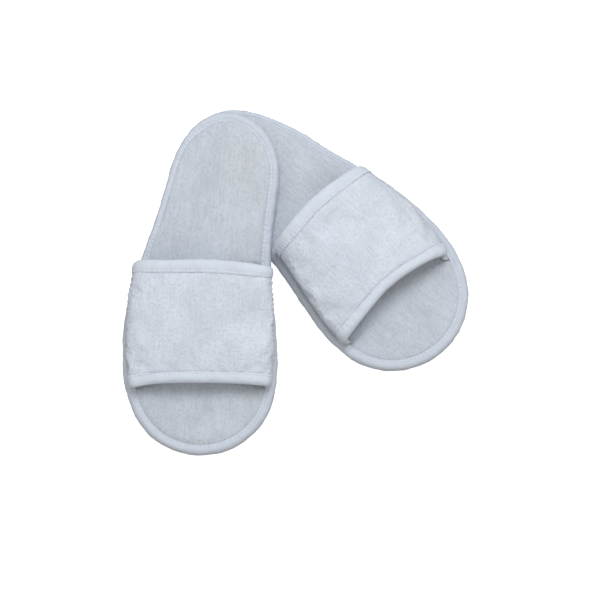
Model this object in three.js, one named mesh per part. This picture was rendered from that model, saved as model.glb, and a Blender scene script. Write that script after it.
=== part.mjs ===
// A pair of open-toe terry spa slippers, laid in a V with the heel of the right one on the heel of the left.
// Millimetres, +Z up. The V opens towards -Y, and the pair stands on z = 0, centred on the origin.
//
// Each slipper is made as a right one in its own frame: the heel's end at the origin, the toe towards -Y,
// the inner side of the foot towards +X, and the tread on z = 0. The left one is its mirror image.
import * as THREE from "three";

// ---- the pair ----
const splay = 26.5; // degrees between each slipper and the middle of the V
const rightHeel = { x: 0, y: 0 };
const leftHeel = { x: -23.5, y: 4.2 };
const leanAngle = 3.7; // degrees that the right slipper leans on the left one's inner edge
const leanDirection = 64.5; // degrees from +X down to that edge

// ---- the sole ----
// The left sole is cut a little shorter and rounder at the heel than the right one.
const rightSole = { length: 280, heelInner: 46, heelRound: 0.2 };
const leftSole = { length: 272.5, heelInner: 43, heelRound: 0.27 };
// Half-widths at shares of the length, from the heel. The two ends are rounded by a formula.
const stations = [0, 0.14, 0.3, 0.45, 0.6, 0.72, 0.86, 1];
const innerHalf = [45, 46.5, 54.5, 60, 60, 60];
const outerHalf = [43, 43, 49.5, 59, 66.5, 66, 60, 60];
const toeRound = 0.21;
const ringSteps = 44;

// Cross-sections of the sole's layers, as [distance in from the sole's edge, height]. All of them thin out
// towards the edge, where the binding's seam pinches them.
const plateEdge = 1.3; // distance from the sole's edge to the edge of the layers in the binding
const outsoleProfile = [[8.5, 0], [8.5, 2], [3, 2], [1.9, 2.7], [plateEdge, 3.5], [plateEdge, 3.9]];
const boardProfile = [[plateEdge, 4.1], [plateEdge, 5.2]];
const foamProfile = [[plateEdge, 5.4], [plateEdge, 5.7], [8.5, 6.5], [16, 8.6]];
const coverProfile = [[16, 8.8], [8.5, 6.7], [plateEdge, 5.9], [plateEdge, 7], [8.5, 7.7], [16, 10.2]];
const bindingProfile = [
  [8.2, 0.95], [2.2, 0.95], [0, 3], [0, 7.5], [2.4, 10.1], [5.4, 10.3], [7, 9.9], [8.2, 10.3],
  [8.2, 9.5], [3, 8.9], [1, 7.2], [1, 3.4], [2.6, 1.8], [8.2, 1.8],
];

// ---- the upper ----
// The seam's ends on each side, as shares of the sole's length.
const seamInner = { rear: 0.44, front: 0.782 };
const seamOuter = { rear: 0.467, front: 0.832 };
// The shell's way out of the seam: from its edge under the binding, to where it turns up past the binding.
const flange = { inset: 3.8, height: 8.7 };
const turnUp = { inset: 8.3, height: 9.15 };
const neck = { inset: 9.2, height: 10.6 };
const shell = { top: 0, under: -1 };
const padding = { top: -1.25, under: -2.45 };
const lining = { top: -2.75, under: -3.35 };
const band = { top: 0.3, under: -3.75, thickness: 0.7 }; // the inner faces of the tape, and how thick it is
const upperSteps = 42; // from one side of the foot to the other
const upperLength = 100; // from the instep edge to the toe edge, which turns widths into shares
// How each slipper's upper stands at its rear and front edges: crown height above the tread, how far the crown
// leans back to the heel, and how far the sides bulge out beyond the seam. The sides' radius and the shoulder's
// height are shares of the upper's height, and the shoulder lies a share of the half-width in from the seam.
const openUpper = {
  crown: { rear: 48, front: 38 },
  lean: { rear: 6, front: 4.5 },
  bulge: { innerRear: 2, innerFront: 4, outerRear: 6, outerFront: 3 },
  sideRadius: 0.36,
  shoulderIn: 0.34,
  shoulderUp: 0.85,
};
const pressedUpper = {
  crown: { rear: 36, front: 28 },
  lean: { rear: 1, front: -1 },
  bulge: { innerRear: 10, innerFront: 5, outerRear: 12, outerFront: 4 },
  sideRadius: 0.44,
  shoulderIn: 0.28,
  shoulderUp: 0.93,
};

// ---- trim ----
const toeBandWidth = 9.5;
const instepBandWidth = 8.5;
const threadRadius = 0.28;
const threadSides = 4;
const seamInset = 7; // the seam round the sole, from the sole's edge

// ---- materials ----
const terryWhite = new THREE.MeshStandardMaterial({ color: 0xd4dae4, roughness: 1, metalness: 0 });
const tapeWhite = new THREE.MeshStandardMaterial({ color: 0xdbe2ec, roughness: 0.9, metalness: 0 });
const liningWhite = new THREE.MeshStandardMaterial({ color: 0xd9dde3, roughness: 0.95, metalness: 0 });
const foamWhite = new THREE.MeshStandardMaterial({ color: 0xe9e7df, roughness: 0.9, metalness: 0 });
const boardGrey = new THREE.MeshStandardMaterial({ color: 0xb9b2a4, roughness: 0.95, metalness: 0 });
const outsoleWhite = new THREE.MeshStandardMaterial({ color: 0xe4e6e8, roughness: 0.7, metalness: 0 });
const threadWhite = new THREE.MeshStandardMaterial({ color: 0xe6eaf0, roughness: 0.6, metalness: 0 });

// ---- solids ----

// Skins closed loops of points, one after another, into one closed solid. Flat caps close its two ends,
// unless the loops go all the way round. Each four-cornered patch is split across its shorter way, so that
// layers that lie on each other split alike.
function skin(loops, endless = false) {
  const count = loops[0].length;
  const positions = loops.flat().flatMap((p) => [p.x, p.y, p.z]);
  const index = [];
  const rows = endless ? loops.length : loops.length - 1;
  for (let i = 0; i < rows; i++) {
    const next = (i + 1) % loops.length;
    for (let j = 0; j < count; j++) {
      const k = (j + 1) % count;
      const [a, b, c, d] = [i * count + j, i * count + k, next * count + k, next * count + j];
      const straight = loops[i][j].distanceTo(loops[next][k]) < loops[i][k].distanceTo(loops[next][j]);
      if (straight) index.push(a, b, c, a, c, d);
      else index.push(a, b, d, b, c, d);
    }
  }
  if (!endless) {
    const last = (loops.length - 1) * count;
    for (const [a, b, c] of capFaces(loops[0])) index.push(a, c, b);
    for (const [a, b, c] of capFaces(loops.at(-1))) index.push(last + a, last + b, last + c);
  }
  if (signedVolume(positions, index) < 0) {
    for (let i = 0; i < index.length; i += 3) [index[i + 1], index[i + 2]] = [index[i + 2], index[i + 1]];
  }
  const geometry = new THREE.BufferGeometry();
  geometry.setAttribute("position", new THREE.Float32BufferAttribute(positions, 3));
  geometry.setIndex(index);
  geometry.computeVertexNormals();
  return geometry;
}

// Triangles that fill a loop, in the loop's own direction seen along its normal.
function capFaces(loop) {
  const normal = new THREE.Vector3();
  loop.forEach((p, i) => normal.add(p.clone().cross(loop[(i + 1) % loop.length])));
  const turn = new THREE.Quaternion().setFromUnitVectors(normal.normalize(), new THREE.Vector3(0, 0, 1));
  const flat = loop.map((p) => p.clone().applyQuaternion(turn)).map((p) => new THREE.Vector2(p.x, p.y));
  return THREE.ShapeUtils.triangulateShape(flat, []);
}

function signedVolume(positions, index) {
  const corner = (i) => new THREE.Vector3().fromArray(positions, 3 * index[i]);
  let volume = 0;
  for (let i = 0; i < index.length; i += 3) volume += corner(i).dot(corner(i + 1).cross(corner(i + 2))) / 6;
  return volume;
}

function mesh(name, geometry, material) {
  const made = new THREE.Mesh(geometry, material);
  made.name = name;
  return made;
}

// ---- the sole's outline ----

// Gives points by how far they lie inside the sole's outline, and their height. turn goes from 0 at the
// heel, up the inner side to 0.5 at the toe, and back.
function makeSole({ length, heelInner, heelRound }) {
  const innerSide = new THREE.CubicInterpolant(stations, [heelInner, heelInner, ...innerHalf], 1);
  const outerSide = new THREE.CubicInterpolant(stations, outerHalf, 1);

  function outline(turn) {
    const angle = 2 * Math.PI * turn;
    const share = (1 - Math.cos(angle)) / 2;
    const inner = Math.sin(angle) >= 0;
    const half = (inner ? innerSide : outerSide).evaluate(share)[0];
    const toHeel = Math.max(0, 1 - share / heelRound);
    const toToe = Math.max(0, 1 - (1 - share) / toeRound);
    const round = Math.sqrt(Math.max(0, 1 - Math.max(toHeel, toToe) ** 2));
    return new THREE.Vector2((inner ? 1 : -1) * half * round, -share * length);
  }

  return function solePoint(turn, inset, height) {
    const step = 1e-3;
    const along = outline(turn + step).sub(outline(turn - step)).normalize();
    const p = outline(turn);
    return new THREE.Vector3(p.x + inset * along.y, p.y - inset * along.x, height);
  };
}

const turns = Array.from({ length: ringSteps }, (_, i) => i / ringSteps);

// A layer of the sole: level rings up its profile.
function soleLayer(solePoint, profile) {
  return skin(profile.map(([inset, height]) => turns.map((turn) => solePoint(turn, inset, height))));
}

// A strip that runs all the way round the sole's edge, with a closed profile.
function soleHoop(solePoint, profile) {
  return skin(turns.map((turn) => profile.map(([inset, height]) => solePoint(turn, inset, height))), true);
}

// ---- the upper's surface ----

// The turn at which the outline is at a share of the sole's length, on the inner or the outer side.
function turnAt(share, inner) {
  const turn = Math.acos(1 - 2 * share) / (2 * Math.PI);
  return inner ? turn : 1 - turn;
}

const mix = THREE.MathUtils.lerp;
const rad = THREE.MathUtils.degToRad;

// The upper's outer surface at across (0 inner edge, 1 outer edge) and along (0 instep, 1 toe).
function makeUpper(solePoint, form) {
  const sections = new Map();

  function side(inner, along) {
    const seam = inner ? seamInner : seamOuter;
    const turn = turnAt(mix(seam.rear, seam.front, along), inner);
    const bulge = inner
      ? mix(form.bulge.innerRear, form.bulge.innerFront, along)
      : mix(form.bulge.outerRear, form.bulge.outerFront, along);
    const rise = mix(form.crown.rear, form.crown.front, along) - neck.height;
    const half = Math.abs(solePoint(turn, neck.inset, 0).x);
    const leaned = (inset, up) => {
      const p = solePoint(turn, inset, neck.height + up * rise);
      p.y += mix(form.lean.rear, form.lean.front, along) * up;
      return p;
    };
    // The cloth's side follows a circle, which touches the bulge's outermost line.
    const onCircle = (angle) => {
      const [sin, cos] = [Math.sin(rad(angle)), Math.cos(rad(angle))];
      return leaned(neck.inset - bulge + form.sideRadius * rise * (1 - cos), form.sideRadius * (1 + sin));
    };
    return [
      solePoint(turn, flange.inset, flange.height),
      solePoint(turn, turnUp.inset, turnUp.height),
      solePoint(turn, neck.inset, neck.height),
      onCircle(-45),
      onCircle(0),
      onCircle(45),
      leaned(neck.inset + form.shoulderIn * half, form.shoulderUp),
    ];
  }

  function section(along) {
    if (!sections.has(along)) {
      const inner = side(true, along);
      const outer = side(false, along);
      const crown = inner.at(-1).clone().add(outer.at(-1)).multiplyScalar(0.5);
      crown.z = mix(form.crown.rear, form.crown.front, along);
      crown.y += mix(form.lean.rear, form.lean.front, along) * (1 - form.shoulderUp);
      const points = [...inner, crown, ...outer.reverse()];
      sections.set(along, new THREE.CatmullRomCurve3(points, false, "centripetal"));
    }
    return sections.get(along);
  }

  // A point at a height above the surface, measured along its normal.
  return function upperPoint(across, along, height) {
    const step = 1e-3;
    const [low, high] = [Math.max(0, across - step), Math.min(1, across + step)];
    const acrossWay = section(along).getPoint(high).sub(section(along).getPoint(low));
    const alongWay = section(along + step).getPoint(across).sub(section(along - step).getPoint(across));
    const normal = acrossWay.cross(alongWay).normalize();
    return section(along).getPoint(across).addScaledVector(normal, height);
  };
}

// A strip of the upper: its profile, as [along, height], swept from one side of the foot to the other.
// It leaves out a number of steps at each end.
function upperStrip(upperPoint, profile, leftOut) {
  const loops = [];
  for (let i = leftOut; i <= upperSteps - leftOut; i++) {
    loops.push(profile.map(([along, height]) => upperPoint(i / upperSteps, along, height)));
  }
  return skin(loops);
}

// The profile of a cloth layer that fills the upper from edge to edge.
function layerProfile({ top, under }) {
  const shares = [0, instepBandWidth / upperLength, 0.35, 0.64, 1 - toeBandWidth / upperLength, 1];
  return [...shares.map((share) => [share, top]), ...shares.reverse().map((share) => [share, under])];
}

// The profile of a tape folded round one edge of the upper. edge is 0 or 1, and width goes in from it.
function bandProfile(edge, width) {
  const inwards = edge === 0 ? 1 : -1;
  const at = (distance) => edge + (inwards * distance) / upperLength;
  const [outer, inner] = [band.top + band.thickness, band.under - band.thickness];
  const middle = (band.top + band.under) / 2;
  return [
    [at(width), outer], [at(0), outer], [at(-1.5), middle], [at(0), inner], [at(width), inner],
    [at(width), band.under], [at(0), band.under], [at(-0.5), middle], [at(0), band.top], [at(width), band.top],
  ];
}

function roundProfile(x, y, xRadius, yRadius) {
  return Array.from({ length: threadSides }, (_, i) => {
    const angle = (2 * Math.PI * i) / threadSides;
    return [x + xRadius * Math.cos(angle), y + yRadius * Math.sin(angle)];
  });
}

// ---- a slipper ----

function makeSlipper(foot, sole, form) {
  const group = new THREE.Group();
  const solePoint = makeSole(sole);
  const upperPoint = makeUpper(solePoint, form);
  const add = (name, geometry, material) => group.add(mesh(`${foot}_${name}`, geometry, material));

  add("outsole", soleLayer(solePoint, outsoleProfile), outsoleWhite);
  add("insole_board", soleLayer(solePoint, boardProfile), boardGrey);
  add("footbed_foam", soleLayer(solePoint, foamProfile), foamWhite);
  add("footbed_cover", soleLayer(solePoint, coverProfile), terryWhite);
  add("sole_binding", soleHoop(solePoint, bindingProfile), tapeWhite);

  // The shell runs into the seam under the binding. The layers inside it stop at the seam.
  add("upper_shell", upperStrip(upperPoint, layerProfile(shell), 0), terryWhite);
  add("upper_padding", upperStrip(upperPoint, layerProfile(padding), 7), foamWhite);
  add("upper_lining", upperStrip(upperPoint, layerProfile(lining), 7), liningWhite);
  add("toe_band", upperStrip(upperPoint, bandProfile(1, toeBandWidth), 8), tapeWhite);
  add("instep_band", upperStrip(upperPoint, bandProfile(0, instepBandWidth), 8), tapeWhite);

  // Each seam has a needle thread on top and a bobbin thread underneath.
  const threadGap = 0.2 + threadRadius;
  const seamTop = 9.9 + threadGap;
  const seamUnder = 0.95 - threadGap;
  const soleThread = (height) => soleHoop(solePoint, roundProfile(seamInset, height, threadRadius, threadRadius));
  add("sole_needle_thread", soleThread(seamTop), threadWhite);
  add("sole_bobbin_thread", soleThread(seamUnder), threadWhite);
  const overBand = band.top + band.thickness + threadGap;
  const underBand = band.under - band.thickness - threadGap;
  const seams = { toe: 1 - (toeBandWidth - 1.3) / upperLength, instep: (instepBandWidth - 1.3) / upperLength };
  for (const [edge, along] of Object.entries(seams)) {
    const thread = (height) => roundProfile(along, height, threadRadius / upperLength, threadRadius);
    add(`${edge}_needle_thread`, upperStrip(upperPoint, thread(overBand), 8), threadWhite);
    add(`${edge}_bobbin_thread`, upperStrip(upperPoint, thread(underBand), 9), threadWhite);
  }
  return group;
}

// ---- the pair ----

const up = new THREE.Vector3(0, 0, 1);

// The left slipper lies flat: the right one's mirror image, turned the other way.
const left = makeSlipper("left", leftSole, openUpper);
left.scale.x = -1;
left.rotation.z = rad(splay);
left.position.set(leftHeel.x, leftHeel.y, 0);

// The right slipper stands on its toe and leans on the left one's inner edge.
const right = makeSlipper("right", rightSole, pressedUpper);
const edgeWay = new THREE.Vector3(Math.cos(rad(leanDirection)), -Math.sin(rad(leanDirection)), 0);
right.quaternion.setFromAxisAngle(edgeWay, rad(leanAngle));
right.quaternion.multiply(new THREE.Quaternion().setFromAxisAngle(up, rad(-splay)));
right.position.set(rightHeel.x, rightHeel.y, 0);
right.position.z = -new THREE.Box3().setFromObject(right, true).min.z;

const pair = new THREE.Group();
pair.add(left, right);
const middle = new THREE.Box3().setFromObject(pair, true).getCenter(new THREE.Vector3());
for (const slipper of [left, right]) {
  slipper.position.x -= middle.x;
  slipper.position.y -= middle.y;
}

export default pair;
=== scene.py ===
import math

import bpy
import numpy as np
from mathutils import Matrix, Vector


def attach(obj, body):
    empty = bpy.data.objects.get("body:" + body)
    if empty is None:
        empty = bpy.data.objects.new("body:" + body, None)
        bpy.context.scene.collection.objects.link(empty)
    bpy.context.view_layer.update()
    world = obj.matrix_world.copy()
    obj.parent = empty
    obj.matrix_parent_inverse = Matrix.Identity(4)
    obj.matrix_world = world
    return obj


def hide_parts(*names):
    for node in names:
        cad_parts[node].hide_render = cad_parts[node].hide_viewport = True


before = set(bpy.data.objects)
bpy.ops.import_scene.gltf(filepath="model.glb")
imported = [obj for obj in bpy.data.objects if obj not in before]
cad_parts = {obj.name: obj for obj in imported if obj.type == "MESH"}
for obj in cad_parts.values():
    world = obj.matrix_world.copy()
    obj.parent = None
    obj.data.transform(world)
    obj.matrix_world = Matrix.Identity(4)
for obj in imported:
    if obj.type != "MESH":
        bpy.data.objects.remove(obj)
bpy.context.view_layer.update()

# Every shape below is worked out in millimetres in the slipper's own frame: heel end at the origin, toe
# towards -Y, inner side of the foot towards +X, tread on z = 0. The left slipper is drawn as a right one
# and mirrored.
mm = 0.001

pair = {
    "left": {"mirror": -1, "place": (-10.2763, 129.3699, 0.0), "turn": 26.5, "lean": 0.0, "seed": 11},
    "right": {"mirror": 1, "place": (13.2237, 125.1699, 14.5188), "turn": -26.5, "lean": 3.7, "seed": 47},
}
leanAxis = Vector((math.cos(math.radians(64.5)), -math.sin(math.radians(64.5)), 0))


def placeSlipper(foot):
    spot = pair[foot]
    move = Matrix.Translation(Vector(spot["place"]) * mm)
    lean = Matrix.Rotation(math.radians(spot["lean"]), 4, leanAxis)
    return move @ lean @ Matrix.Rotation(math.radians(spot["turn"]), 4, "Z")


randomTable = np.random.RandomState(5).rand(257, 263, 4)


def ease(x, low, high):
    # 0 below low, 1 above high, and smooth between them
    t = np.clip((x - low) / (high - low), 0, 1)
    return t * t * (3 - 2 * t)


def tableAt(i, j, layer):
    return randomTable[np.mod(i, 257), np.mod(j, 263), layer]


def softNoise(u, v, size, seed=0):
    # smooth noise from -1 to 1 with lumps about as wide as size
    x, y = u / size + 17.3 * seed, v / size + 9.1 * seed
    i, j = np.floor(x).astype(int), np.floor(y).astype(int)
    a, b = ease(x - i, 0, 1), ease(y - j, 0, 1)
    low = tableAt(i, j, 0) * (1 - a) + tableAt(i + 1, j, 0) * a
    high = tableAt(i, j + 1, 0) * (1 - a) + tableAt(i + 1, j + 1, 0) * a
    return 2 * (low * (1 - b) + high * b) - 1


# Terry loops stand in loose rows along the foot, as round nubs of uneven height.
pile = {"rowWidth": 1.7, "loopLength": 2.1, "height": 0.5, "stray": 0.8, "uneven": 0.35}


def pileHeight(u, v, seed):
    # how high the loops stand at (u across the foot, v along it), from 0 to about 1
    i = np.floor(u / pile["rowWidth"]).astype(int)
    j = np.floor(v / pile["loopLength"]).astype(int)
    best = np.zeros_like(u)
    for di in (-1, 0, 1):
        for dj in (-1, 0, 1):
            ci, cj = i + di + 31 * seed, j + dj
            cu = (i + di + 0.5 + pile["stray"] * 0.6 * (tableAt(ci, cj, 1) - 0.5)) * pile["rowWidth"]
            cv = (j + dj + 0.5 + pile["stray"] * 1.6 * (tableAt(ci, cj, 2) - 0.5)) * pile["loopLength"]
            du, dv = (u - cu) / (0.62 * pile["rowWidth"]), (v - cv) / (0.72 * pile["loopLength"])
            nub = np.sqrt(np.clip(1 - du * du - dv * dv, 0, 1))
            best = np.maximum(best, nub * (1 - pile["uneven"] * tableAt(ci, cj, 3)))
    return best


def unit(v):
    return v / np.linalg.norm(v, axis=-1, keepdims=True)


def distances(line):
    # how far along the line each of its points is
    return np.concatenate([[0], np.cumsum(np.linalg.norm(np.diff(line, axis=0), axis=1))])


def curve(a, b, c, d, t):
    # a smooth way from b, at t = 0, to c
    return b + 0.5 * t * (c - a + t * (2 * a - 5 * b + 4 * c - d + t * (3 * (b - c) + d - a)))


def smoothLine(points, count, closed=False):
    # a smooth line through the points, with count points evenly spaced on it
    p = np.array(points, float)
    if closed:
        p = np.vstack([p[-1:], p, p[:2]])
    else:
        p = np.vstack([2 * p[0] - p[1], p, 2 * p[-1] - p[-2]])
    t = np.linspace(0, 1, 24, endpoint=False)[:, None]
    parts = [curve(a, b, c, d, t) for a, b, c, d in zip(p, p[1:], p[2:], p[3:])]
    line = np.vstack(parts + [p[1:2] if closed else p[-2:-1]])
    far = distances(line)
    wanted = np.linspace(0, far[-1], count, endpoint=not closed)
    return np.stack([np.interp(wanted, far, line[:, k]) for k in range(line.shape[1])], 1)


def putIn(thing):
    bpy.context.scene.collection.objects.link(thing)


def addPiece(name, foot, points, faces, material, node, marks=None):
    # one piece of a slipper in place of its plain solid: its points are those of a right slipper
    points = np.asarray(points, float).reshape(-1, 3) * mm * [pair[foot]["mirror"], 1, 1]
    volume = 0.0
    for face in faces:
        face = np.asarray(face)
        a, b, c = points[face[:, 0]], points[face[:, 1:-1]], points[face[:, 2:]]
        volume += np.einsum("ij,ikj->", a, np.cross(b, c))
    if volume < 0:  # its faces point inwards
        faces = [np.asarray(face)[:, ::-1] for face in faces]
    mesh = bpy.data.meshes.new(name)
    mesh.from_pydata(points.tolist(), [], [f for face in faces for f in np.asarray(face).tolist()])
    mesh.materials.append(material)
    mesh.polygons.foreach_set("use_smooth", [True] * len(mesh.polygons))
    for mark, values in (marks or {}).items():
        layer = mesh.attributes.new(mark, "FLOAT", "POINT")
        layer.data.foreach_set("value", np.asarray(values, np.float32).ravel())
    # the finishes are laid out in the slipper's own frame, so that their rows follow the foot
    own = mesh.attributes.new("ownFrame", "FLOAT_VECTOR", "POINT")
    own.data.foreach_set("vector", points.astype(np.float32).ravel())
    mesh.transform(placeSlipper(foot))
    mesh.update()
    piece = bpy.data.objects.new(f"{foot}_{name}", mesh)
    putIn(piece)
    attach(piece, f"{foot}_slipper")
    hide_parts(f"{foot}_{node}")
    return piece


def gridFaces(rows, columns, start=0, wrapRows=False, wrapColumns=False):
    r = np.arange(rows if wrapRows else rows - 1)
    c = np.arange(columns if wrapColumns else columns - 1)
    r, c = np.meshgrid(r, c, indexing="ij")
    r2, c2 = (r + 1) % rows, (c + 1) % columns
    quads = np.stack([r * columns + c, r * columns + c2, r2 * columns + c2, r2 * columns + c], -1)
    return quads.reshape(-1, 4) + start


def sheetFaces(rows, columns):
    # a top and an under grid of the same size, one after the other, joined round their edge
    size = rows * columns
    ring = np.concatenate([
        np.arange(columns),
        np.arange(1, rows) * columns + columns - 1,
        (rows - 1) * columns + np.arange(columns - 2, -1, -1),
        np.arange(rows - 2, 0, -1) * columns,
    ])
    after = np.roll(ring, -1)
    wall = np.stack([after, ring, ring + size, after + size], 1)
    return [gridFaces(rows, columns), gridFaces(rows, columns, size)[:, ::-1], wall]


def sweepFaces(loops, around, endless):
    faces = [gridFaces(loops, around, 0, endless, True)]
    if not endless:
        last = (loops - 1) * around
        faces += [np.arange(around)[::-1][None], (last + np.arange(around))[None]]
    return faces


# The sole's outline: half its width on each side at stations from heel to toe, rounded off over a share of
# its length at the heel and at the toe. The narrow shares are for its edge tape.
stations = np.array([0, 0.14, 0.3, 0.45, 0.6, 0.72, 0.86, 1])
soles = {
    "left": {
        "length": 272.5, "heelRound": 0.27, "toeRound": 0.21,
        "inner": [43, 43, 45, 46.5, 55.5, 61.8, 61, 60],
        "outer": [45.6, 45.8, 51.8, 60, 67, 67, 61, 60],
        "narrowInner": 0.0, "narrowOuter": 0.22,
    },
    "right": {
        "length": 280.0, "heelRound": 0.2, "toeRound": 0.21,
        "inner": [46, 46, 45, 46.5, 54.5, 60, 60, 60],
        "outer": [43, 43, 49.5, 59, 66.5, 66, 60, 60],
        "narrowInner": 0.08, "narrowOuter": 0.34,
    },
}
outlineSteps = 8001  # the fineness at which distances along the outline are measured
poleGap = 0.004  # how far, in turns, a sole's grid stops short of the heel's and the toe's very end


def throughStations(values, share):
    # a smooth curve through the values at the stations
    v = np.array(values, float)
    i = np.clip(np.searchsorted(stations, share, side="right"), 1, len(stations) - 1)
    t0, t1 = stations[i - 1], stations[i]
    first, last = i == 1, i == len(stations) - 1
    before = np.where(first, i, i - 2)
    after = np.where(last, i - 1, np.minimum(i + 1, len(stations) - 1))
    tBefore = np.where(first, t1, stations[np.maximum(i - 2, 0)])
    tAfter = np.where(last, t0, stations[np.minimum(i + 1, len(stations) - 1)])
    half = (t1 - t0) / 2
    wB, wA = half / (t0 - tBefore), half / (tAfter - t1)
    p = (share - t0) / (t1 - t0)
    return (
        (-wB * p**3 + 2 * wB * p**2 - wB * p) * v[before]
        + ((1 + wB) * p**3 + (-1.5 - 2 * wB) * p**2 + (-0.5 + wB) * p + 1) * v[i - 1]
        + ((-1 - wA) * p**3 + (1.5 + wA) * p**2 + 0.5 * p) * v[i]
        + (wA * p**3 - wA * p**2) * v[after]
    )


def outline(foot, turn):
    # the sole's edge: turn 0 at the heel, up the inner side to 0.5 at the toe, and back
    sole = soles[foot]
    angle = 2 * math.pi * np.asarray(turn, float)
    share = (1 - np.cos(angle)) / 2
    inner = np.sin(angle) >= 0
    half = np.where(inner, throughStations(sole["inner"], share), throughStations(sole["outer"], share))
    toHeel = np.clip(1 - share / sole["heelRound"], 0, 1)
    toToe = np.clip(1 - (1 - share) / sole["toeRound"], 0, 1)
    rounded = np.sqrt(np.clip(1 - np.maximum(toHeel, toToe) ** 2, 0, 1))
    return np.stack([np.where(inner, 1, -1) * half * rounded, -share * sole["length"]], -1)


def solePoint(foot, turn, inset, height):
    # the point at this turn that lies inset from the sole's edge, at this height
    turn, inset, height = np.broadcast_arrays(np.asarray(turn, float), inset, height)
    way = unit(outline(foot, turn + 1e-3) - outline(foot, turn - 1e-3))
    p = outline(foot, turn)
    return np.stack([p[..., 0] + inset * way[..., 1], p[..., 1] - inset * way[..., 0], height], -1)


def evenTurns(foot, step):
    # turns that are evenly spaced along the sole's edge, and how far along it each one is
    fine = np.linspace(0, 1, outlineSteps)
    line = outline(foot, fine)
    far = distances(line)
    count = int(round(far[-1] / step))
    wanted = np.linspace(0, far[-1], count, endpoint=False)
    return np.interp(wanted, far, fine), wanted, far[-1]


def soleGrid(foot, inset, rows, columns):
    # a grid that fills the sole's shape, with each point's distance from the edge and its nearest turn
    turnsUp = np.linspace(poleGap, 0.5 - poleGap, rows)
    inner = solePoint(foot, turnsUp, inset, 0.0)
    outer = solePoint(foot, 1 - turnsUp, inset, 0.0)
    across = np.linspace(0, 1, columns)[None, :, None]
    points = inner[:, None] * (1 - across) + outer[:, None] * across
    turns, _, _ = evenTurns(foot, 0.7)
    edge = outline(foot, turns)
    flat = points[..., :2].reshape(-1, 2)
    near, nearTurn = np.zeros(len(flat)), np.zeros(len(flat))
    batch = 4000  # points measured at a time, to save memory
    for k in range(0, len(flat), batch):
        gap = np.linalg.norm(flat[k:k + batch, None] - edge[None], axis=2)
        best = gap.argmin(1)
        near[k:k + batch] = gap[np.arange(len(best)), best]
        nearTurn[k:k + batch] = turns[best]
    shape = points.shape[:2]
    return points, near.reshape(shape), nearTurn.reshape(shape)


def soleShell(foot, rows, columns, profile):
    # what closes a sole's grid: rings that follow the profile of (inset, height), a flat cap over the last
    # of them, and a face at each end row of the grid
    turnsUp = np.linspace(poleGap, 0.5 - poleGap, rows)
    ringTurns = np.concatenate([turnsUp, 1 - turnsUp[::-1]])
    rings = [solePoint(foot, ringTurns, inset, height) for inset, height in profile]
    side = np.arange(rows) * columns
    border = np.concatenate([side, side[::-1] + columns - 1])
    ids = [rows * columns + k * 2 * rows + np.arange(2 * rows) for k in range(len(profile))]
    faces = [gridFaces(rows, columns)[:, ::-1]]
    for a, b in zip([border, *ids], ids):
        faces.append(np.stack([np.roll(a, -1), a, b, np.roll(b, -1)], 1))
    faces[1] = np.delete(faces[1], [rows - 1, 2 * rows - 1], 0)
    faces.append(ids[-1][::-1][None])
    heelRow, toeRow = np.arange(columns), side[-1] + np.arange(columns)
    faces.append(np.array([ids[0][-1], ids[0][0], *heelRow])[None])
    faces.append(np.array([ids[0][rows - 1], ids[0][rows], *toeRow[::-1]])[None])
    return rings, faces


def edgeWidth(foot, turn):
    # how wide the edge tape shows, as a share of its usual width: it is narrower beside each heel
    share = (1 - np.cos(2 * math.pi * np.asarray(turn))) / 2
    besideHeel = ease(share, 0.02, 0.12) * (1 - ease(share, 0.4, 0.52))
    sole = soles[foot]
    return 1 - besideHeel * np.where(np.mod(turn, 1) > 0.5, sole["narrowOuter"], sole["narrowInner"])


# where the upper is sewn into the sole, as shares of the sole's length
seamInner = {"rear": 0.44, "front": 0.782}
seamOuter = {"rear": 0.467, "front": 0.832}
# the upper's edge inside the seam, as (inset, height)
flange, turnUp, neck = (3.8, 8.7), (8.3, 9.15), (9.2, 10.6)
upperLength = 100.0  # from the instep edge to the toe edge
# Pairs give a value at the instep edge and one at the toe edge. The trims say how far each edge is eased
# back to the heel, at even places from the inner side to the outer one.
uppers = {
    "left": {
        "crown": (48, 38), "lean": (6, 4.5),
        "bulgeInner": (2, 4), "bulgeOuter": (6, 0.4), "hollowOuter": 0,
        "sideRadius": 0.36, "shoulderIn": 0.34, "shoulderUp": 0.85,
        "rearTrim": [0, 0, 1.5, 3.0, 1.4, 0.8, 0.8, 5.4, 8.6, 3.0, 1.6, 1.0, 0, 0, 0],
        "toeTrim": [0, 0, 0, 0, 0, 0, -0.3, 2.6, -1.6, -0.8, 0, 0, 0, 0, 0],
    },
    "right": {
        "crown": (36, 28), "lean": (1, -1),
        "bulgeInner": (11, 5), "bulgeOuter": (11.5, 4), "hollowOuter": 3.4,
        "sideRadius": 0.44, "shoulderIn": 0.28, "shoulderUp": 0.93,
        "rearTrim": [0, 0, 0, -1.2, -3.0, -3.7, -1.8, 2.4, 4.4, -1.6, -3.0, -1.0, 0, 0, 0],
        "toeTrim": [0, 0, 0, 0, 0, 0, -0.5, 0, -1.6, -0.5, 0, 0, 0, 0, 0],
    },
}


def between(ends, along):
    return ends[0] * (1 - along) + ends[1] * along


def turnAt(share, inner):
    # the turn at this share of the sole's length, on the inner or the outer side
    turn = np.arccos(1 - 2 * share) / (2 * math.pi)
    return turn if inner else 1 - turn


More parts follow.
